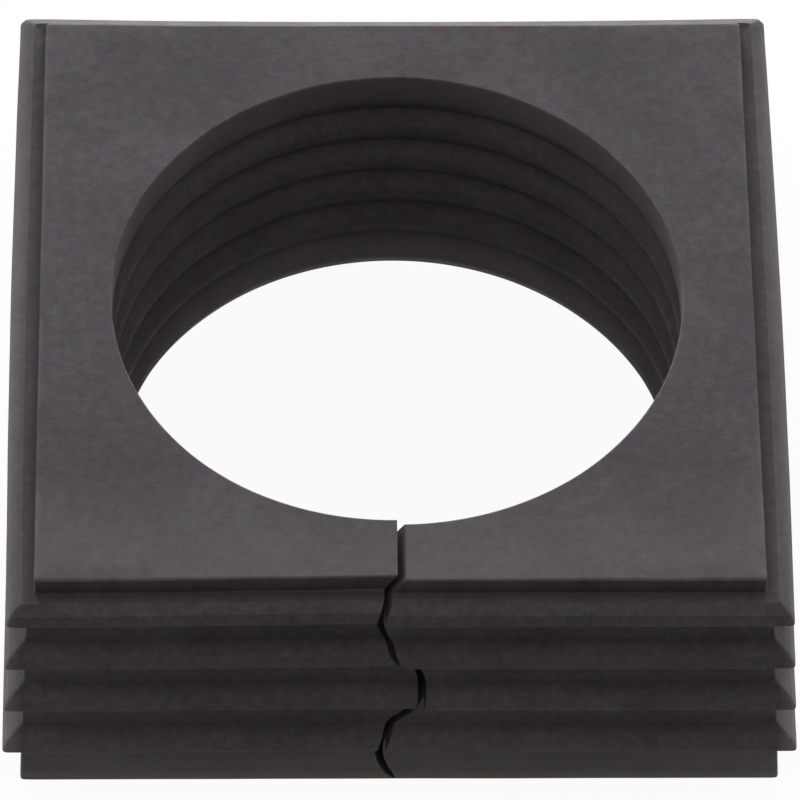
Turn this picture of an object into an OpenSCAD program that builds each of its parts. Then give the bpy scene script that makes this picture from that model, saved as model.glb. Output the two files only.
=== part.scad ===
// Split cable grommet, moulded in one piece from a soft black elastomer.
// A square block with sealing lips all round, a ribbed bore that grips the cable,
// and a wavy slit through the front wall, which opens to take the cable in from the side.
// The lower face lies on the XY plane and the bore's axis is the Z axis. The slit faces -Y.
// Every depth is measured downwards from the top face.

/* [Block] */
// Width of the flat top face, edge to edge
top_w = 40; // [38:0.5:60]
// Height of the raised rim below the top face
rim_h = 1.2; // [0.6:0.05:1.7]
// How far the rim stands back from the line of the walls
rim_set_back = 0.4; // [0.1:0.05:0.8]
// Draft of the walls, which widen towards the lower face, in degrees
draft = 3; // [0:0.25:5]
// Height of the plain foot below the lowest lip
foot_h = 3.8; // [1:0.05:8]

/* [Sealing lips] */
// Number of lips, one above the other
lip_count = 4; // [2:1:6]
// Distance from one lip to the next
lip_pitch = 3.65; // [2.5:0.05:6]
// Depth of the top lip's flat underside
first_lip = 2.25; // [2:0.05:4]
// How far a lip stands out from its wall
lip_reach = 1.1; // [0.5:0.05:2]
// Height of the slope on top of a lip
slope_h = 0.5; // [0.4:0.05:1]
// Height of the blunt edge below that slope
edge_h = 0.7; // [0.2:0.05:1]
// How far the blunt edge leans outwards on its way down
edge_lean = 0.3; // [0:0.05:0.4]

/* [Bore] */
// Diameter of the bore between the crests of its ribs
bore_d = 32; // [10:0.5:36]
// Depth of the first groove's root
first_groove = 3.2; // [2:0.1:6]
// Distance from one groove to the next
groove_pitch = 2.84; // [2:0.02:5]
// How far a groove is cut into the wall
groove_depth = 0.4; // [0.1:0.05:1]
// Width of the flat crest between two grooves
crest_w = 0.6; // [0.2:0.05:1.2]

/* [Slit] */
// Gap between the two faces of the slit
slit_gap = 0.5; // [0.2:0.05:1]
// Height of the upper bend, to the left as seen from the front
upper_bend = 5.9; // [3:0.1:8]
// Height of the middle bend, to the right
middle_bend = 5.8; // [3:0.1:8]
// Height of the lower bend, to the left
lower_bend = 5.5; // [3:0.1:8]
// Sideways swing of a bend, as a share of its height
bend_swing = 0.21; // [0.1:0.01:0.3]

/* [Hidden] */
$fn = 180;
// How far a cutter passes beyond the face that it cuts
overcut = 1;
// Straight steps in each bend of the slit
bend_steps = 14;

height = first_lip + (lip_count - 1) * lip_pitch + foot_h;
lip_depths = [for (i = [0 : lip_count - 1]) first_lip + i * lip_pitch];
block_reach = wall_half(height) + lip_reach + overcut;

bore_r = bore_d / 2;
mouth_half = (groove_pitch - crest_w) / 2;
groove_depths = [for (d = first_groove; d < height + mouth_half; d = d + groove_pitch) d];

bends = [upper_bend, middle_bend, lower_bend];
bend_starts = [0, upper_bend, upper_bend + middle_bend];
bends_end = upper_bend + middle_bend + lower_bend;

// Half width between the walls at a depth
function wall_half(depth) = top_w / 2 + rim_set_back + depth * tan(draft);

// One lip's outline on the right side: slope, blunt edge and flat underside, down to its depth
function lip_outline(depth) =
    let (tip = wall_half(depth) + lip_reach,
         edge_top = depth - edge_h,
         slope_top = edge_top - slope_h)
    [[wall_half(slope_top), -slope_top],
     [tip - edge_lean, -edge_top],
     [tip, -depth],
     [wall_half(depth), -depth]];

// The whole outline on the right side, from the top face to the lower face
function side_outline() = concat(
    [[wall_half(0), 0]],
    [for (depth = lip_depths) each lip_outline(depth)],
    [[wall_half(height), -height]]);

function reversed(points) = [for (i = [len(points) - 1 : -1 : 0]) points[i]];

function mirrored(points) = [for (p = reversed(points)) [-p[0], p[1]]];

// How far one bend of the slit has swung to the right at a depth
function bend_x(i, depth) =
    (i % 2 == 0 ? -1 : 1) * bend_swing * bends[i] * sin(180 * (depth - bend_starts[i]) / bends[i]);

// The slit's middle line, from above the top face to below the lower face
function slit_line() = concat(
    [[0, overcut]],
    [for (i = [0 : len(bends) - 1])
        for (k = [0 : bend_steps - 1])
            let (depth = bend_starts[i] + bends[i] * k / bend_steps)
            [bend_x(i, depth), -depth]],
    [[0, -bends_end], [0, -max(height, bends_end) - overcut]]);

// The block's section: drafted walls with their lips, cut back at the top to leave the rim
module block_section() {
    right = side_outline();
    difference() {
        polygon(concat(right, mirrored(right)));
        for (side = [-1, 1])
            translate([side * (top_w / 2 + block_reach / 2), (overcut - rim_h) / 2])
                square([block_reach, overcut + rim_h], center = true);
    }
}

// The section drawn out along Y, as long as the block can reach
module ribbed_bar() {
    rotate([90, 0, 0])
        linear_extrude(height = 2 * block_reach, center = true)
            block_section();
}

// Two crossed bars share the square block, and their lips meet in mitred corners
module block() {
    intersection() {
        ribbed_bar();
        rotate([0, 0, 90]) ribbed_bar();
    }
}

// Cutter for the bore: a crest at the bore's radius between each two V-shaped grooves.
// The last groove runs out at the lower face and widens the bore's mouth.
module bore() {
    wall = [for (d = groove_depths)
        each [[bore_r, mouth_half - d], [bore_r + groove_depth, -d], [bore_r, -mouth_half - d]]];
    rotate_extrude()
        polygon(concat(
            [[0, overcut], [bore_r, overcut]],
            wall,
            [[bore_r, -height - groove_pitch], [0, -height - groove_pitch]]));
}

// Cutter for the slit: a wavy band from the bore's axis out through the front wall
module slit() {
    line = slit_line();
    left = [for (p = line) [p[0] - slit_gap / 2, p[1]]];
    right = [for (p = line) [p[0] + slit_gap / 2, p[1]]];
    rotate([90, 0, 0])
        linear_extrude(height = block_reach)
            polygon(concat(right, reversed(left)));
}

module grommet_body() {
    color("#2b2a2c")
        translate([0, 0, height])
            difference() {
                block();
                bore();
                slit();
            }
}

grommet_body();
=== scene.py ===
import math

import bpy
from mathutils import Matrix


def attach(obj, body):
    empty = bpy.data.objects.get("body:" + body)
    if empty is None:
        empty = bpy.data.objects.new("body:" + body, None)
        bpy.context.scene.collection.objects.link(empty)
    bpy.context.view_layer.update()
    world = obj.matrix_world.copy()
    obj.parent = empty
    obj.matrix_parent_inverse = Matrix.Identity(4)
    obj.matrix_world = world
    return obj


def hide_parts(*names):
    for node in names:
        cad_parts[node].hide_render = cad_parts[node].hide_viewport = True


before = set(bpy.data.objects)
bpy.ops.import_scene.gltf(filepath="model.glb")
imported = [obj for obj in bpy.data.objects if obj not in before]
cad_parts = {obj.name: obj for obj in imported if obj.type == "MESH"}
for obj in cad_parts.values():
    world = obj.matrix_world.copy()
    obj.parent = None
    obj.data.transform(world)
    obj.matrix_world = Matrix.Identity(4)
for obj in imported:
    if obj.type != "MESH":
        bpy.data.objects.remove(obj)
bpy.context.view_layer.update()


# The grommet: one block of soft black elastomer, injection moulded, square outside and round inside.
# Its section is the same all round: a raised rim, four saw-tooth lips, a plain foot and a ribbed bore.
# The front wall is slit along a wavy line, so that the block opens to take a cable in from the side.

# All sizes are in millimetres, and depths are measured downwards from the top face.
# From the slit's shift to the waviness they are the set that this soft block has taken.
body_sizes = {
    "Top width": 40.0,
    "Height": 17.0,
    "Rim height": 1.2,
    "Rim set-back": 0.4,
    "Wall draft": math.tan(math.radians(3)),
    "Lips": 4,
    "First lip": 2.25,
    "Lip pitch": 3.65,
    "Lip reach": 1.1,
    "Slope height": 0.5,
    "Edge height": 0.7,
    "Edge lean": 0.3,
    "Bore radius": 16.0,
    "Grooves": 6,
    "First groove": 3.2,
    "Groove pitch": 2.84,
    "Groove depth": 0.5,
    "Groove floor": 0.04,
    "Crest width": 0.6,
    "Lower flare": 0.28,
    "Slit gap": 0.46,
    "Upper bend": 5.9,
    "Middle bend": 5.4,
    "Lower bend": 5.9,
    "Bend swing": 0.21,
    "Slit shift": 0.07,
    "Arm slip": 0.03,
    "Bore shift": -0.14,
    "Back bow": -0.1,
    "Back corners": 0.11,
    "Back lip lift": 0.15,
    "Left arm lean": 0.31,
    "Side lean": 0.1,
    "Side spread": 0.17,
    "Waviness": 0.06,
    "Edge radius": 0.1,
    "Rib radius": 1.5,
    "Corner sharpness": 220.0,
    "Columns": 340,
    "Slit face columns": 6,
    "Row step": 0.5,
}

# The places on the block that its finish follows, in metres.
mm = 0.001
top_z = body_sizes["Height"] * mm
rim_foot_z = top_z - body_sizes["Rim height"] * mm
rim_out = body_sizes["Top width"] / 2 * mm
bore_out = body_sizes["Bore radius"] * mm


def linear(colour):
    """An sRGB hex colour as linear red, green, blue and alpha."""
    parts = [int(colour[i:i + 2], 16) / 255 for i in (1, 3, 5)]
    return tuple(p / 12.92 if p <= 0.04045 else ((p + 0.055) / 1.055) ** 2.4 for p in parts) + (1.0,)


def add(tree, kind, *values, named=None, **settings):
    """Adds a node: its settings, then its inputs in order and by name.
    An input takes a number, another node's output or a list of outputs. Returns the node's first output."""
    node = tree.nodes.new(kind)
    for name, value in settings.items():
        setattr(node, name, value)
    shown = [socket for socket in node.inputs if socket.enabled]
    pairs = list(zip(shown, values))
    for name, value in (named or {}).items():
        pairs.append((next(socket for socket in shown if socket.name == name), value))
    for socket, value in pairs:
        for one in value if isinstance(value, list) else [value]:
            if isinstance(one, bpy.types.NodeSocket):
                tree.links.new(one, socket)
            else:
                socket.default_value = one
    return next((socket for socket in node.outputs if socket.enabled), None)


# Thermoplastic elastomer, moulded: the eye reads a matt, slightly warm black that turns grey where light
# falls flat on it. Bloom, a waxy bleed from inside, clouds it in patches of 6 mm and down to fine specks.
elastomer = bpy.data.materials.new("moulded_black_elastomer")
elastomer.use_nodes = True
skin = elastomer.node_tree
shader = skin.nodes["Principled BSDF"].inputs
on_part = add(skin, "ShaderNodeTexCoord").node.outputs["Object"]
clouds = add(skin, "ShaderNodeTexNoise", on_part, named={
    "Scale": 1 / (6 * mm), "Detail": 6.0, "Roughness": 0.7})
clouds = add(skin, "ShaderNodeMapRange", clouds, 0.3, 0.7)
tone = add(skin, "ShaderNodeMix", clouds, linear("#3f3b3e"), linear("#4a464a"), data_type="RGBA")
specks = add(skin, "ShaderNodeTexNoise", on_part, named={
    "Scale": 1 / (0.6 * mm), "Detail": 3.0, "Roughness": 0.8}).node.outputs["Color"]
specks = add(skin, "ShaderNodeHueSaturation", named={"Saturation": 0.6, "Color": specks})
tone = add(skin, "ShaderNodeMix", 0.85, tone, specks, data_type="RGBA", blend_type="OVERLAY")

# Beside the four corners, where the wall is thick, the skin is darker in patches up to 6 mm round.
# Left and right are folded together.
at = add(skin, "ShaderNodeSeparateXYZ", on_part).node.outputs
off_x = add(skin, "ShaderNodeMath", at["X"], operation="ABSOLUTE")
folded = add(skin, "ShaderNodeCombineXYZ", off_x, at["Y"])
back_dark_patch = (12 * mm, 15.8 * mm, 0.0)
front_dark_patch = (15.5 * mm, -13.5 * mm, 0.0)
to_back_patch = add(skin, "ShaderNodeVectorMath", folded, back_dark_patch, operation="DISTANCE")
to_front_patch = add(skin, "ShaderNodeVectorMath", folded, front_dark_patch, operation="DISTANCE")
to_dark_patch = add(skin, "ShaderNodeMath", to_back_patch, to_front_patch, operation="MINIMUM")
corner_darkening = add(skin, "ShaderNodeMapRange", to_dark_patch, 1 * mm, 6 * mm, 0.22, 0.0, interpolation_type="SMOOTHSTEP")
tone = add(skin, "ShaderNodeMix", corner_darkening, tone, linear("#2b272a"), data_type="RGBA")

# Painted light: the top face pales towards the front, the bore's upper band towards its top, lit over the
# rim, and the foot towards the lower face, lit from the table; its last 0.8 mm is a painted reflection of the
# table.
on_top = add(skin, "ShaderNodeMapRange", at["Z"], top_z - 0.15 * mm, top_z - 0.05 * mm)
front_top_painted_light = add(skin, "ShaderNodeMapRange", at["Y"], -12 * mm, -18 * mm, 0.0, 0.22)
front_top_painted_light = add(skin, "ShaderNodeMath", front_top_painted_light, on_top, operation="MULTIPLY")
from_axis = add(skin, "ShaderNodeVectorMath", folded, operation="LENGTH").node.outputs["Value"]
in_mouth = add(skin, "ShaderNodeMapRange", from_axis, bore_out + 0.7 * mm, bore_out + 0.5 * mm)
below_top = add(skin, "ShaderNodeMapRange", at["Z"], top_z - 0.05 * mm, top_z - 0.1 * mm)
bore_top_painted_light = add(skin, "ShaderNodeMapRange", at["Z"], top_z - 3.2 * mm, top_z - 0.1 * mm, 0.0, 0.43)
bore_top_painted_light = add(skin, "ShaderNodeMath", bore_top_painted_light, in_mouth, operation="MULTIPLY")
bore_top_painted_light = add(skin, "ShaderNodeMath", bore_top_painted_light, below_top, operation="MULTIPLY")
foot_painted_bounce = add(skin, "ShaderNodeMapRange", at["Z"], 4.5 * mm, 1 * mm, 0.0, 0.42)
painted_light_paling = add(skin, "ShaderNodeMath", front_top_painted_light, foot_painted_bounce, operation="MAXIMUM")
painted_light_paling = add(skin, "ShaderNodeMath", painted_light_paling, bore_top_painted_light, operation="MAXIMUM")
tone = add(skin, "ShaderNodeMix", painted_light_paling, tone, linear("#686466"), data_type="RGBA")
# Painted reflection of the white table along the lowest 0.8 mm, warm and palest.
painted_table_reflection = add(skin, "ShaderNodeMapRange", at["Z"], 0.85 * mm, 0.05 * mm)
tone = add(skin, "ShaderNodeMix", painted_table_reflection, tone, linear("#7c776f"), data_type="RGBA")

# Painted shade in the nook at the foot of the rim, half a millimetre wide, where the rim keeps the light off.
off_y = add(skin, "ShaderNodeMath", at["Y"], operation="ABSOLUTE")
off_axis = add(skin, "ShaderNodeMath", off_x, off_y, operation="MAXIMUM")
past_rim = add(skin, "ShaderNodeMapRange", off_axis, rim_out - 0.3 * mm, rim_out - 0.1 * mm)
below_rim = add(skin, "ShaderNodeMapRange", at["Z"], rim_foot_z + 0.1 * mm, rim_foot_z)
painted_rim_foot_shade = add(skin, "ShaderNodeMapRange", off_axis, rim_out, rim_out + 0.65 * mm, 0.65, 0.0)
painted_rim_foot_shade = add(skin, "ShaderNodeMath", painted_rim_foot_shade, past_rim, operation="MULTIPLY")
painted_rim_foot_shade = add(skin, "ShaderNodeMath", painted_rim_foot_shade, below_rim, operation="MULTIPLY")
tone = add(skin, "ShaderNodeMix", painted_rim_foot_shade, tone, linear("#2b272a"), data_type="RGBA")

# Handling has rubbed the outer edges lighter, in streaks about 3 mm long, and a painted highlight lies along
# them too. The lips' tips at both sides are painted lighter where the side lamps light them: painted light.
# The distance to the nearest edge comes with the mesh, in millimetres.
from_edge = add(skin, "ShaderNodeAttribute", attribute_name="from_edge").node.outputs["Fac"]
edge_wear_and_highlight = add(skin, "ShaderNodeMapRange", from_edge, 0.0, 0.2, 1.0, 0.0, interpolation_type="SMOOTHSTEP")
streaks = add(skin, "ShaderNodeTexNoise", on_part, named={"Scale": 1 / (3 * mm), "Detail": 3.0})
streaks = add(skin, "ShaderNodeMapRange", streaks, 0.4, 0.7, 0.0, 0.25)
edge_wear_and_highlight = add(skin, "ShaderNodeMath", edge_wear_and_highlight, streaks, operation="MULTIPLY")
side_tips_painted_light = add(skin, "ShaderNodeMapRange", off_x, rim_out + 1 * mm, rim_out + 1.7 * mm, 0.0, 0.5)
edge_wear_and_highlight = add(skin, "ShaderNodeMath", edge_wear_and_highlight, side_tips_painted_light, operation="MAXIMUM")
tone = add(skin, "ShaderNodeMix", edge_wear_and_highlight, tone, linear("#706c6d"), data_type="RGBA")

# The two faces of the slit press together, so they carry no bloom and no wear and stay plain black.
in_slit = add(skin, "ShaderNodeAttribute", attribute_name="in_slit").node.outputs["Fac"]
tone = add(skin, "ShaderNodeMix", in_slit, tone, linear("#443f42"), data_type="RGBA")
skin.links.new(tone, shader["Base Color"])

# The mould was spark-eroded: a grain of about 0.1 mm, drawn at 0.15 mm to show at this size.
# It scatters the sheen, so the gloss stays low, and it varies in spots of 2 mm.
shader["Specular IOR Level"].default_value = 0.1
sheen = add(skin, "ShaderNodeTexNoise", on_part, named={"Scale": 1 / (2 * mm), "Detail": 3.0})
skin.links.new(add(skin, "ShaderNodeMapRange", sheen, 0.3, 0.7, 0.52, 0.66), shader["Roughness"])
grain = add(skin, "ShaderNodeTexNoise", on_part, named={"Scale": 1 / (0.15 * mm), "Detail": 2.0})
bumps = add(skin, "ShaderNodeBump", named={"Strength": 0.35, "Distance": 0.02 * mm, "Height": grain})
skin.links.new(bumps, shader["Normal"])

# The moulding's node tree, with one named input for each size. It works in millimetres:
# X is the distance from the bore's axis and Y the depth, until the section is drawn round the bore.
moulding = bpy.data.node_groups.new("grommet_moulding", "GeometryNodeTree")
moulding.interface.new_socket("Geometry", in_out="OUTPUT", socket_type="NodeSocketGeometry")
body_sockets = {}
for name, size in body_sizes.items():
    kind = "NodeSocketInt" if isinstance(size, int) else "NodeSocketFloat"
    body_sockets[name] = moulding.interface.new_socket(name, in_out="INPUT", socket_type=kind).identifier
add(moulding, "NodeGroupInput")
given = moulding.nodes["Group Input"].outputs

# One lip, drawn from the wall at its own depth: slope, blunt edge and underside.
# The underside falls by a hair towards the wall, so that sorting by depth keeps its two ends in order.
half_top = add(moulding, "ShaderNodeMath", given["Top width"], 0.5, operation="MULTIPLY")
wall_top = add(moulding, "ShaderNodeMath", half_top, given["Rim set-back"], operation="ADD")
lip_height = add(moulding, "ShaderNodeMath", given["Slope height"], given["Edge height"], operation="ADD")
slope_top_y = add(moulding, "ShaderNodeMath", lip_height, -1.0, operation="MULTIPLY")
slope_top_x = add(moulding, "ShaderNodeMath", slope_top_y, given["Wall draft"], operation="MULTIPLY")
edge_top_y = add(moulding, "ShaderNodeMath", given["Edge height"], -1.0, operation="MULTIPLY")
edge_top_x = add(moulding, "ShaderNodeMath", given["Lip reach"], given["Edge lean"], operation="SUBTRACT")
underside_fall = 0.02
lip_outline = add(moulding, "GeometryNodeCurvePrimitiveQuadrilateral", mode="POINTS", named={
    "Point 1": add(moulding, "ShaderNodeCombineXYZ", slope_top_x, slope_top_y),
    "Point 2": add(moulding, "ShaderNodeCombineXYZ", edge_top_x, edge_top_y),
    "Point 3": add(moulding, "ShaderNodeCombineXYZ", given["Lip reach"], 0.0),
    "Point 4": (0.0, underside_fall, 0.0),
})

# The lips stand one below the other along the drafted wall.
first_lip_x = add(
    moulding, "ShaderNodeMath", given["First lip"], given["Wall draft"], wall_top, operation="MULTIPLY_ADD")
lip_step_x = add(moulding, "ShaderNodeMath", given["Lip pitch"], given["Wall draft"], operation="MULTIPLY")
lip_places = add(moulding, "GeometryNodeMeshLine", given["Lips"], named={
    "Start Location": add(moulding, "ShaderNodeCombineXYZ", first_lip_x, given["First lip"]),
    "Offset": add(moulding, "ShaderNodeCombineXYZ", lip_step_x, given["Lip pitch"]),
})
lips = add(moulding, "GeometryNodeInstanceOnPoints", lip_places, named={"Instance": lip_outline})
lips = add(moulding, "GeometryNodeRealizeInstances", lips)
lips = add(moulding, "GeometryNodeCurveToPoints", lips, mode="EVALUATED")

# The rim is a step cut into the top lip's slope, so the slope starts at the foot of the rim.
place = add(moulding, "GeometryNodeInputPosition")
spot = add(moulding, "ShaderNodeSeparateXYZ", place).node.outputs
above_foot = add(moulding, "FunctionNodeCompare", spot["Y"], given["Rim height"], operation="LESS_THAN")
drop = add(moulding, "ShaderNodeMath", given["Rim height"], spot["Y"], operation="SUBTRACT")
slope_run = add(moulding, "ShaderNodeMath", edge_top_x, slope_top_x, operation="SUBTRACT")
slope_run = add(moulding, "ShaderNodeMath", slope_run, given["Slope height"], operation="DIVIDE")
drop_x = add(moulding, "ShaderNodeMath", drop, slope_run, operation="MULTIPLY")
down_slope = add(moulding, "ShaderNodeCombineXYZ", drop_x, drop)
lips = add(moulding, "GeometryNodeSetPosition", lips, above_foot, named={"Offset": down_slope})

# One groove of the bore, and all of them along the wall. The last one runs out at the lower face.
mouth = add(moulding, "ShaderNodeMath", given["Groove pitch"], given["Crest width"], operation="SUBTRACT")
mouth_y = add(moulding, "ShaderNodeMath", mouth, 0.5, operation="MULTIPLY")
mouth_up_y = add(moulding, "ShaderNodeMath", mouth, -0.5, operation="MULTIPLY")
floor_y = add(moulding, "ShaderNodeMath", given["Groove floor"], 0.5, operation="MULTIPLY")
floor_up_y = add(moulding, "ShaderNodeMath", given["Groove floor"], -0.5, operation="MULTIPLY")
groove_outline = add(moulding, "GeometryNodeCurvePrimitiveQuadrilateral", mode="POINTS", named={
    "Point 1": add(moulding, "ShaderNodeCombineXYZ", 0.0, mouth_up_y),
    "Point 2": add(moulding, "ShaderNodeCombineXYZ", given["Groove depth"], floor_up_y),
    "Point 3": add(moulding, "ShaderNodeCombineXYZ", given["Groove depth"], floor_y),
    "Point 4": add(moulding, "ShaderNodeCombineXYZ", 0.0, mouth_y),
})
groove_places = add(moulding, "GeometryNodeMeshLine", given["Grooves"], named={
    "Start Location": add(moulding, "ShaderNodeCombineXYZ", given["Bore radius"], given["First groove"]),
    "Offset": add(moulding, "ShaderNodeCombineXYZ", 0.0, given["Groove pitch"]),
})
grooves = add(moulding, "GeometryNodeInstanceOnPoints", groove_places, named={"Instance": groove_outline})
grooves = add(moulding, "GeometryNodeRealizeInstances", grooves)
grooves = add(moulding, "GeometryNodeCurveToPoints", grooves, mode="EVALUATED")
below_foot = add(moulding, "FunctionNodeCompare", spot["Y"], given["Height"], operation="GREATER_THAN")
grooves = add(moulding, "GeometryNodeDeleteGeometry", grooves, below_foot)

# The section's other corners: the rim, the lower face and the bore's upper edge.
# The rim's foot lies a hair above the slope's start, again to keep the order.
rim_foot_gap = 0.01
rim_foot_y = add(moulding, "ShaderNodeMath", given["Rim height"], rim_foot_gap, operation="SUBTRACT")
lower_x = add(
    moulding, "ShaderNodeMath", given["Height"], given["Wall draft"], wall_top, operation="MULTIPLY_ADD")
flare_x = add(moulding, "ShaderNodeMath", given["Bore radius"], given["Lower flare"], operation="ADD")
corners = add(moulding, "GeometryNodeCurvePrimitiveQuadrilateral", mode="POINTS", named={
    "Point 1": add(moulding, "ShaderNodeCombineXYZ", half_top, 0.0),
    "Point 2": add(moulding, "ShaderNodeCombineXYZ", half_top, rim_foot_y),
    "Point 3": add(moulding, "ShaderNodeCombineXYZ", lower_x, given["Height"]),
    "Point 4": add(moulding, "ShaderNodeCombineXYZ", flare_x, given["Height"]),
})
corners = add(moulding, "GeometryNodeCurveToPoints", corners, mode="EVALUATED")
bore_edge = add(moulding, "ShaderNodeCombineXYZ", given["Bore radius"], 0.0)
bore_edge = add(moulding, "GeometryNodePoints", 1, bore_edge)

# All the corners join into one closed outline, down the outside and up the bore, with its edges rounded.
# The bore's points sort by their height above a level far below the block, so they follow the outside's.
all_points = add(moulding, "GeometryNodeJoinGeometry", [lips, grooves, corners, bore_edge])
wall_middle = add(moulding, "ShaderNodeMath", given["Bore radius"], half_top, operation="ADD")
wall_middle = add(moulding, "ShaderNodeMath", wall_middle, 0.5, operation="MULTIPLY")
in_bore = add(moulding, "FunctionNodeCompare", spot["X"], wall_middle, operation="LESS_THAN")
far_below = 100.0
upwards = add(moulding, "ShaderNodeMath", far_below, spot["Y"], operation="SUBTRACT")
order = add(moulding, "GeometryNodeSwitch", in_bore, spot["Y"], upwards, input_type="FLOAT")
outline = add(moulding, "GeometryNodePointsToCurves", all_points, named={"Weight": order})
outline = add(moulding, "GeometryNodeSetSplineCyclic", outline, named={"Cyclic": True})
ribs_middle = 8.0
ribs_half = 7.5
ends_off = add(moulding, "FunctionNodeCompare", spot["Y"], ribs_middle, operation="EQUAL", data_type="FLOAT")
ends_off.node.inputs["Epsilon"].default_value = ribs_half
on_rib = add(moulding, "FunctionNodeBooleanMath", in_bore, ends_off, operation="AND")
radius = add(
    moulding, "GeometryNodeSwitch", on_rib, given["Edge radius"], given["Rib radius"], input_type="FLOAT")
outline = add(moulding, "GeometryNodeFilletCurve", outline, mode="POLY", named={
    "Count": 4, "Radius": radius, "Limit Radius": True})

# Long straight stretches of the outline are cut into rows, and each point keeps its place in the section.
next_point = add(moulding, "GeometryNodeOffsetPointInCurve", named={"Offset": 1}).node.outputs["Point Index"]
next_place = add(moulding, "GeometryNodeFieldAtIndex", place, next_point, data_type="FLOAT_VECTOR")
gap_along = add(moulding, "ShaderNodeVectorMath", place, next_place, operation="DISTANCE")
cuts = add(moulding, "ShaderNodeMath", gap_along, given["Row step"], operation="DIVIDE")
outline = add(moulding, "GeometryNodeSubdivideCurve", outline, cuts)
outline = add(moulding, "GeometryNodeStoreNamedAttribute", outline, data_type="FLOAT_VECTOR", named={
    "Name": "section", "Value": place})

# How far each point lies from the nearest edge that hands can reach: the rim, the lips' tips, the foot and
# the two ends of the bore.
wall_line = add(
    moulding, "ShaderNodeMath", spot["Y"], given["Wall draft"], wall_top, operation="MULTIPLY_ADD")
proud = add(moulding, "ShaderNodeMath", spot["X"], wall_line, operation="SUBTRACT")
tip_from = add(moulding, "ShaderNodeMath", given["Lip reach"], 0.1, operation="SUBTRACT")
sheltered = add(moulding, "FunctionNodeCompare", proud, tip_from, operation="LESS_THAN")
sheltered = add(moulding, "FunctionNodeBooleanMath", sheltered, ends_off, operation="AND")
edges = add(moulding, "GeometryNodeDeleteGeometry", all_points, sheltered)
to_edge = add(moulding, "GeometryNodeProximity", edges, target_element="POINTS").node.outputs["Distance"]
outline = add(moulding, "GeometryNodeStoreNamedAttribute", outline, named={
    "Name": "from_edge", "Value": to_edge})

# The outline is drawn round the bore from one face of the slit to the other, with a few more columns
# for each face.
face_columns = given["Slit face columns"]
path_points = add(
    moulding, "ShaderNodeMath", face_columns, 2.0, given["Columns"], operation="MULTIPLY_ADD")
path_points = add(moulding, "ShaderNodeMath", path_points, 1.0, operation="ADD")
path = add(moulding, "GeometryNodeMeshToCurve", add(moulding, "GeometryNodeMeshLine", path_points))
path_index = add(moulding, "GeometryNodeInputIndex")
path = add(moulding, "GeometryNodeStoreNamedAttribute", path, named={"Name": "column", "Value": path_index})
block = add(moulding, "GeometryNodeCurveToMesh", path, outline)

section = add(moulding, "GeometryNodeInputNamedAttribute", "section", data_type="FLOAT_VECTOR")
section = add(moulding, "ShaderNodeSeparateXYZ", section).node.outputs
column = add(moulding, "GeometryNodeInputNamedAttribute", "column")

# The columns past each end close in on the middle of the wall, in level rows, and make the slit's face.
half_columns = add(moulding, "ShaderNodeMath", given["Columns"], 0.5, operation="MULTIPLY")
middle_column = add(moulding, "ShaderNodeMath", half_columns, face_columns, operation="ADD")
off_middle = add(moulding, "ShaderNodeMath", column, middle_column, operation="SUBTRACT")
past_end = add(moulding, "ShaderNodeMath", off_middle, operation="ABSOLUTE")
past_end = add(moulding, "ShaderNodeMath", past_end, half_columns, operation="SUBTRACT")
past_end = add(moulding, "ShaderNodeMath", past_end, 0.0, operation="MAXIMUM")
closing = add(moulding, "ShaderNodeMath", past_end, face_columns, operation="DIVIDE")
end_margin = 2.0
lowest_row = add(moulding, "ShaderNodeMath", given["Height"], end_margin, operation="SUBTRACT")
level_row = add(moulding, "ShaderNodeMath", section["Y"], 0.5, operation="SNAP")
level_row = add(moulding, "ShaderNodeClamp", level_row, end_margin, lowest_row)
out = add(moulding, "ShaderNodeMix", closing, section["X"], wall_middle, data_type="FLOAT")
depth = add(moulding, "ShaderNodeMix", closing, section["Y"], level_row, data_type="FLOAT")

# Each column's direction from the bore's axis, once round from the slit, with the columns gathered at the
# corners. Gathered by a quarter they would meet there.
share = add(moulding, "ShaderNodeMath", off_middle, given["Columns"], operation="DIVIDE")
share = add(moulding, "ShaderNodeClamp", share, -0.5, 0.5)
even = add(moulding, "ShaderNodeMath", share, math.tau, operation="MULTIPLY")
fourfold = add(moulding, "ShaderNodeMath", even, 4.0, operation="MULTIPLY")
ripple = add(moulding, "ShaderNodeMath", fourfold, operation="SINE")
gathering = 0.2425
from_back = add(moulding, "ShaderNodeMath", ripple, gathering, even, operation="MULTIPLY_ADD")

# Near the slit the columns follow its bends, which swing left, right and left. The left arm has slipped up
# along the right one by twice the arm slip, but not at the two ends.
side = add(moulding, "ShaderNodeMath", share, operation="SIGN")
near_foot = add(moulding, "ShaderNodeMath", given["Height"], 3.0, operation="SUBTRACT")
slip = add(moulding, "ShaderNodeMapRange", depth, near_foot, given["Height"], given["Arm slip"], 0.0)
under_top = add(moulding, "ShaderNodeMapRange", depth, 2.0, 4.0)
slip = add(moulding, "ShaderNodeMath", slip, under_top, operation="MULTIPLY")
slipped = add(moulding, "ShaderNodeMath", side, slip, depth, operation="MULTIPLY_ADD")

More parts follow.
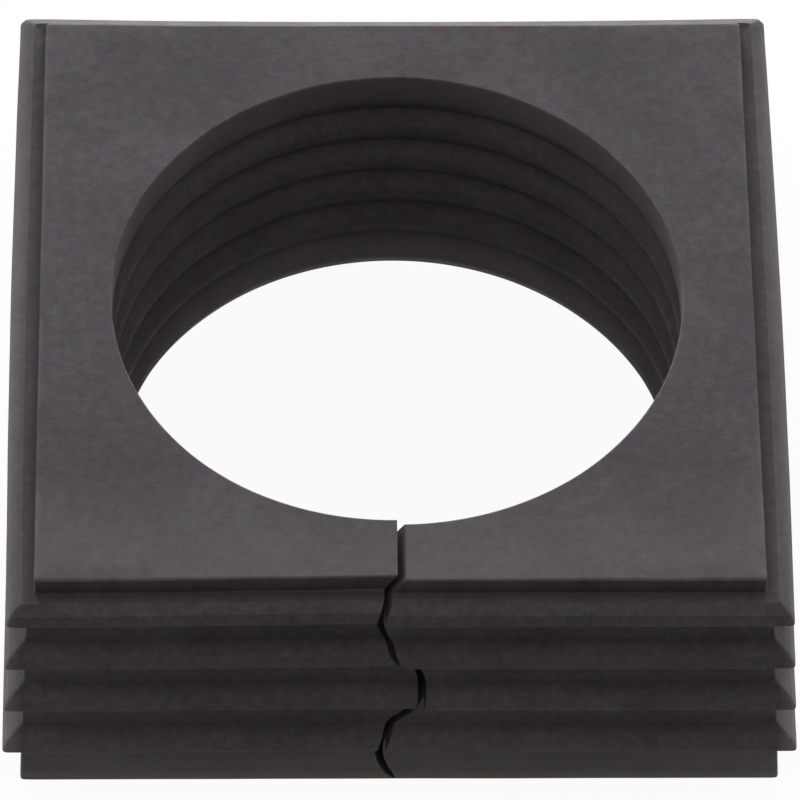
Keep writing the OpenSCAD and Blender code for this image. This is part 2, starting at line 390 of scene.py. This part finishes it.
# Each bend is half a sine wave. The lower two have settled into a fuller one: a power below 1 fills it out.
bends = (("Upper bend", -1, 1.0), ("Middle bend", 1, 0.75), ("Lower bend", -1, 0.7))
sway = given["Slit shift"]
bend_start = 0.0
for bend, way, fullness in bends:
    bend_end = add(moulding, "ShaderNodeMath", given[bend], bend_start, operation="ADD")
    arch = add(moulding, "ShaderNodeMapRange", slipped, bend_start, bend_end)
    arch = add(moulding, "ShaderNodeMath", arch, math.pi, operation="MULTIPLY")
    arch = add(moulding, "ShaderNodeMath", arch, operation="SINE")
    arch = add(moulding, "ShaderNodeMath", arch, 0.0, operation="MAXIMUM")
    arch = add(moulding, "ShaderNodeMath", arch, fullness, operation="POWER")
    swing = add(moulding, "ShaderNodeMath", given[bend], given["Bend swing"], operation="MULTIPLY")
    swing = add(moulding, "ShaderNodeMath", swing, way, operation="MULTIPLY")
    sway = add(moulding, "ShaderNodeMath", arch, swing, sway, operation="MULTIPLY_ADD")
    bend_start = bend_end

# On each side of its line the slit opens by half the gap, which is pinched together at the lower face.
# The columns lean over to it within a narrow zone, an angle in radians on each side.
pinched_from = add(moulding, "ShaderNodeMath", given["Height"], 0.6, operation="SUBTRACT")
gap_share = add(moulding, "ShaderNodeMapRange", depth, pinched_from, given["Height"], -0.5, -0.06)
half_gap = add(moulding, "ShaderNodeMath", given["Slit gap"], gap_share, operation="MULTIPLY")
aside = add(moulding, "ShaderNodeMath", side, half_gap, sway, operation="MULTIPLY_ADD")
off_back = add(moulding, "ShaderNodeMath", from_back, operation="ABSOLUTE")
slit_zone = 0.35
near_slit = add(
    moulding, "ShaderNodeMapRange", off_back, math.pi - slit_zone, math.pi, interpolation_type="SMOOTHERSTEP")
aside = add(moulding, "ShaderNodeMath", aside, near_slit, operation="MULTIPLY")
lean = add(moulding, "ShaderNodeMath", aside, out, operation="DIVIDE")
direction = add(moulding, "ShaderNodeMath", from_back, lean, operation="ADD")
direction = add(moulding, "ShaderNodeMath", direction, math.pi / 2, operation="ADD")
along_x = add(moulding, "ShaderNodeMath", direction, operation="COSINE")
along_y = add(moulding, "ShaderNodeMath", direction, operation="SINE")

# Round at the bore, square with barely rounded corners from the rim outwards, and in between on the two
# faces. The square is a superellipse: the higher its power, the sharper its corners.
share_x = add(moulding, "ShaderNodeMath", along_x, operation="ABSOLUTE")
share_y = add(moulding, "ShaderNodeMath", along_y, operation="ABSOLUTE")
power_x = add(moulding, "ShaderNodeMath", share_x, given["Corner sharpness"], operation="POWER")
power_y = add(moulding, "ShaderNodeMath", share_y, given["Corner sharpness"], operation="POWER")
powers = add(moulding, "ShaderNodeMath", power_x, power_y, operation="ADD")
root = add(moulding, "ShaderNodeMath", -1.0, given["Corner sharpness"], operation="DIVIDE")
to_square = add(moulding, "ShaderNodeMath", powers, root, operation="POWER")
round_up_to = add(moulding, "ShaderNodeMath", given["Bore radius"], 0.5, operation="ADD")
squareness = add(moulding, "ShaderNodeMapRange", out, round_up_to, half_top)
stretch = add(moulding, "ShaderNodeMix", squareness, 1.0, to_square, data_type="FLOAT")
out = add(moulding, "ShaderNodeMath", out, stretch, operation="MULTIPLY")
block_x = add(moulding, "ShaderNodeMath", out, along_x, operation="MULTIPLY")
block_y = add(moulding, "ShaderNodeMath", out, along_y, operation="MULTIPLY")
block_z = add(moulding, "ShaderNodeMath", given["Height"], depth, operation="SUBTRACT")

# The soft block has taken a slight set. The bore lies nearer to the slit, and the upper back wall is bowed in
# between its corners, which stand further back.
to_bore = add(moulding, "ShaderNodeMath", 1.0, squareness, operation="SUBTRACT")
block_y = add(moulding, "ShaderNodeMath", given["Bore shift"], to_bore, block_y, operation="MULTIPLY_ADD")
off_centre = add(moulding, "ShaderNodeMath", block_x, half_top, operation="DIVIDE")
bow = add(moulding, "ShaderNodeMath", off_centre, off_centre, operation="MULTIPLY")
bow = add(moulding, "ShaderNodeMapRange", bow, 0.0, 1.0, given["Back bow"], given["Back corners"])
in_upper_part = add(moulding, "ShaderNodeMapRange", depth, 3.0, 9.0, 1.0, 0.0)
to_back = add(moulding, "ShaderNodeMapRange", block_y, 0.0, half_top)
to_back = add(moulding, "ShaderNodeMath", to_back, squareness, operation="MULTIPLY")
to_back = add(moulding, "ShaderNodeMath", to_back, in_upper_part, operation="MULTIPLY")
set_y = add(moulding, "ShaderNodeMath", bow, to_back, block_y, operation="MULTIPLY_ADD")

# The left arm leans back, most at the slit and at the top.
on_left_arm = add(moulding, "FunctionNodeCompare", share, 0.0, operation="GREATER_THAN")
in_front_wall = add(moulding, "ShaderNodeMapRange", block_y, -8.0, -16.0)
arm = add(moulding, "ShaderNodeMapRange", off_centre, -1.0, 0.0)
arm = add(moulding, "ShaderNodeMath", arm, 1.5, operation="POWER")
arm = add(moulding, "ShaderNodeMath", arm, on_left_arm, operation="MULTIPLY")
arm = add(moulding, "ShaderNodeMath", arm, in_front_wall, operation="MULTIPLY")
arm_lean = add(moulding, "ShaderNodeMapRange", depth, 0.0, given["Height"], given["Left arm lean"], 0.0)
set_y = add(moulding, "ShaderNodeMath", arm_lean, arm, set_y, operation="MULTIPLY_ADD")

# The top lip at the back is lifted, and pushed out by a little less than it rises.
off_rim = add(moulding, "ShaderNodeMath", section["X"], half_top, operation="SUBTRACT")
off_rim = add(moulding, "ShaderNodeMapRange", off_rim, 0.2, 0.6)
on_back_lip = add(moulding, "ShaderNodeMath", block_y, half_top, operation="SUBTRACT")
on_back_lip = add(moulding, "ShaderNodeMapRange", on_back_lip, -4.0, 0.6)
on_back_lip = add(moulding, "ShaderNodeMath", on_back_lip, off_rim, operation="MULTIPLY")
lift = add(moulding, "ShaderNodeMapRange", depth, given["First lip"], 5.0, given["Back lip lift"], 0.0)
lift = add(moulding, "ShaderNodeMath", lift, on_back_lip, operation="MULTIPLY")
set_y = add(moulding, "ShaderNodeMath", lift, 0.8, set_y, operation="MULTIPLY_ADD")
set_z = add(moulding, "ShaderNodeMath", block_z, lift, operation="ADD")

# The whole block leans to one side, and its upper lips spread at both sides, most in the middle.
lean_out = add(moulding, "ShaderNodeMath", given["Side lean"], -0.5, operation="MULTIPLY")
lean_in = add(moulding, "ShaderNodeMath", given["Side lean"], 0.5, operation="MULTIPLY")
set_x = add(moulding, "ShaderNodeMapRange", depth, 0.0, given["Height"], lean_out, lean_in)
set_x = add(moulding, "ShaderNodeMath", set_x, block_x, operation="ADD")
along_side = add(moulding, "ShaderNodeMath", block_y, half_top, operation="DIVIDE")
along_side = add(moulding, "ShaderNodeMath", along_side, along_side, operation="MULTIPLY")
beyond_wall = add(moulding, "ShaderNodeMath", block_x, operation="ABSOLUTE")
beyond_wall = add(moulding, "ShaderNodeMath", beyond_wall, wall_top, operation="SUBTRACT")
beyond_wall = add(moulding, "ShaderNodeMapRange", beyond_wall, 0.0, 0.5)
in_upper_lips = add(moulding, "ShaderNodeMapRange", depth, 2.5, 12.0, 1.0, 0.0)
spread = add(moulding, "ShaderNodeMapRange", along_side, 0.0, 1.0, given["Side spread"], 0.0)
spread = add(moulding, "ShaderNodeMath", spread, beyond_wall, operation="MULTIPLY")
spread = add(moulding, "ShaderNodeMath", spread, in_upper_lips, operation="MULTIPLY")
spread_way = add(moulding, "ShaderNodeMath", block_x, operation="SIGN")
set_x = add(moulding, "ShaderNodeMath", spread, spread_way, set_x, operation="MULTIPLY_ADD")

# Slow waves, about 8 mm long, run through the walls but leave the heights alone.
settled = add(moulding, "ShaderNodeCombineXYZ", set_x, set_y, set_z)
waves = add(moulding, "ShaderNodeTexNoise", settled, named={"Scale": 0.12, "Detail": 1.0})
waves = waves.node.outputs["Color"]
waves = add(moulding, "ShaderNodeVectorMath", waves, (0.5, 0.5, 0.5), operation="SUBTRACT")
flat_waves = add(moulding, "ShaderNodeCombineXYZ", given["Waviness"], given["Waviness"], 0.0)
settled = add(moulding, "ShaderNodeVectorMath", waves, flat_waves, settled, operation="MULTIPLY_ADD")
block = add(moulding, "GeometryNodeSetPosition", block, named={"Position": settled})
cut = add(moulding, "FunctionNodeCompare", closing, 0.02, operation="GREATER_THAN")
block = add(moulding, "GeometryNodeStoreNamedAttribute", block, domain="FACE", named={
    "Name": "in_slit", "Value": cut})
block = add(moulding, "GeometryNodeMergeByDistance", block, named={"Distance": 0.002})

# From millimetres to metres, smooth round the bore and its ribs and crisp along the edges.
block = add(moulding, "GeometryNodeTransform", block, named={"Scale": (mm, mm, mm)})
block = add(moulding, "GeometryNodeSetShadeSmooth", block)
fold = add(moulding, "GeometryNodeInputMeshEdgeAngle")
sharp = add(moulding, "FunctionNodeCompare", fold, 0.1, operation="GREATER_THAN")
block = add(moulding, "GeometryNodeSetShadeSmooth", block, sharp, False, domain="EDGE")
block = add(moulding, "GeometryNodeRealizeInstances", block)
block = add(moulding, "GeometryNodeSetMaterial", block, named={"Material": elastomer})
add(moulding, "NodeGroupOutput", block)

grommet = bpy.data.objects.new("grommet", bpy.data.meshes.new("grommet"))
bpy.context.scene.collection.objects.link(grommet)
mould = grommet.modifiers.new("mould", "NODES")
mould.node_group = moulding
for name, size in body_sizes.items():
    mould[body_sockets[name]] = size
moulded = grommet.evaluated_get(bpy.context.evaluated_depsgraph_get())
grommet.data = bpy.data.meshes.new_from_object(moulded)
grommet.modifiers.remove(mould)

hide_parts("grommet_body")
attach(grommet, "root")


# The table: a matt grey bench that throws little light back into the bore. Two white papers lie on it: a card
# right in front of the grommet, which lights the foot, and a ring along the bore's wall, for its lower mouth.
# To the camera and in reflections all of it is white, but greyer in the bore, where it lies in shadow.
bpy.ops.mesh.primitive_plane_add(size=3.0)
table = bpy.context.object
table.name = "white_paper"
paper = bpy.data.materials.new("white_paper")
paper.use_nodes = True
sheet = paper.node_tree
bench = sheet.nodes["Principled BSDF"]
bench.inputs["Roughness"].default_value = 0.9
rays = add(sheet, "ShaderNodeLightPath").node.outputs
on_bench = add(sheet, "ShaderNodeTexCoord").node.outputs["Object"]
card_middle = -35 * mm
card_half = 13 * mm
on_card = add(sheet, "ShaderNodeSeparateXYZ", on_bench).node.outputs["Y"]
on_card = add(sheet, "ShaderNodeMath", on_card, card_middle, card_half, operation="COMPARE")
ring_middle = bore_out - 0.7 * mm
ring_half = 0.9 * mm
off_bore_axis = add(sheet, "ShaderNodeVectorMath", on_bench, operation="LENGTH").node.outputs["Value"]
on_ring = add(sheet, "ShaderNodeMath", off_bore_axis, ring_middle, ring_half, operation="COMPARE")
white_part = add(sheet, "ShaderNodeMath", on_card, on_ring, operation="MAXIMUM")
white_part = add(sheet, "ShaderNodeMath", white_part, rays["Is Camera Ray"], operation="MAXIMUM")
bench_tone = add(sheet, "ShaderNodeMix", white_part, linear("#5c5c5c"), linear("#f2f2f2"), data_type="RGBA")
sheet.links.new(bench_tone, bench.inputs["Base Color"])
in_open = add(sheet, "ShaderNodeMapRange", off_bore_axis, bore_out, bore_out + 6 * mm, 0.4, 1.0)
mirrored = add(sheet, "ShaderNodeMath", rays["Is Glossy Ray"], in_open, operation="MULTIPLY")
seen = add(sheet, "ShaderNodeMath", rays["Is Camera Ray"], mirrored, operation="MAXIMUM")
seen = add(sheet, "ShaderNodeMath", seen, rays["Is Transmission Ray"], operation="MAXIMUM")
seen = add(sheet, "ShaderNodeMath", seen, 0.94, operation="MULTIPLY")
white = add(sheet, "ShaderNodeEmission", linear("#ffffff"), 1.0)
surface = add(sheet, "ShaderNodeMixShader", seen, bench.outputs["BSDF"], white)
sheet.links.new(surface, sheet.nodes["Material Output"].inputs["Surface"])
table.data.materials.append(paper)


# The studio: a long strip lamp low behind the grommet, whose light grazes its top face,
# soft boxes above both sides and above the camera and a small lamp overhead, all a little warmer.
# The room is dim to the grommet and white to the camera.
world = bpy.data.worlds.new("studio")
bpy.context.scene.world = world
world.use_nodes = True
room = world.node_tree
backdrop = room.nodes["Background"]
backdrop.inputs["Color"].default_value = linear("#ffffff")
room_dim = 0.03
to_camera = add(room, "ShaderNodeLightPath").node.outputs["Is Camera Ray"]
room_level = add(room, "ShaderNodeMath", to_camera, 1 - room_dim, room_dim, operation="MULTIPLY_ADD")
room.links.new(room_level, backdrop.inputs["Strength"])

# Each lamp's place and size in metres, its power in watts and its colour.
lamps = {
    "back_strip": ((0.0, 0.75, 0.15), (1.2, 0.25), 19.8, "#ffffff"),
    "left_soft_box": ((-0.60, 0.05, 0.32), (0.7, 0.6), 2.15, "#fff9f6"),
    "right_soft_box": ((0.60, 0.05, 0.32), (0.7, 0.6), 1.75, "#fff9f6"),
    "front_soft_box": ((0.0, -0.55, 0.55), (0.4, 0.3), 0.40, "#fff9f6"),
    "upper_soft_box": ((0.0, -0.40, 0.80), (0.4, 0.3), 0.24, "#fff9f6"),
    "overhead_lamp": ((0.0, -0.06, 0.24), (0.14, 0.14), 0.15, "#fff9f6"),
}
for name, (spot_at, size, power, colour) in lamps.items():
    lamp = bpy.data.lights.new(name, "AREA")
    lamp.shape = "RECTANGLE"
    lamp.size, lamp.size_y = size
    lamp.energy = power
    lamp.color = linear(colour)[:3]
    box = bpy.data.objects.new(name, lamp)
    bpy.context.scene.collection.objects.link(box)
    box.location = spot_at
    box.rotation_euler = (-box.location).to_track_quat("-Z", "Y").to_euler()

# The camera, fitted to the top face's square, the bore's rims and the outline in the photograph.
camera = bpy.data.cameras.new("camera")
camera.lens = 351.68
camera.sensor_width = 36.0
eye = bpy.data.objects.new("camera", camera)
bpy.context.scene.collection.objects.link(eye)
eye.location = (-0.0071058, -0.2743051, 0.3590753)
eye.rotation_euler = [math.radians(a) for a in (37.95365, -0.69438, -0.64455)]
bpy.context.scene.camera = eye
bpy.context.scene.view_settings.view_transform = "Standard"
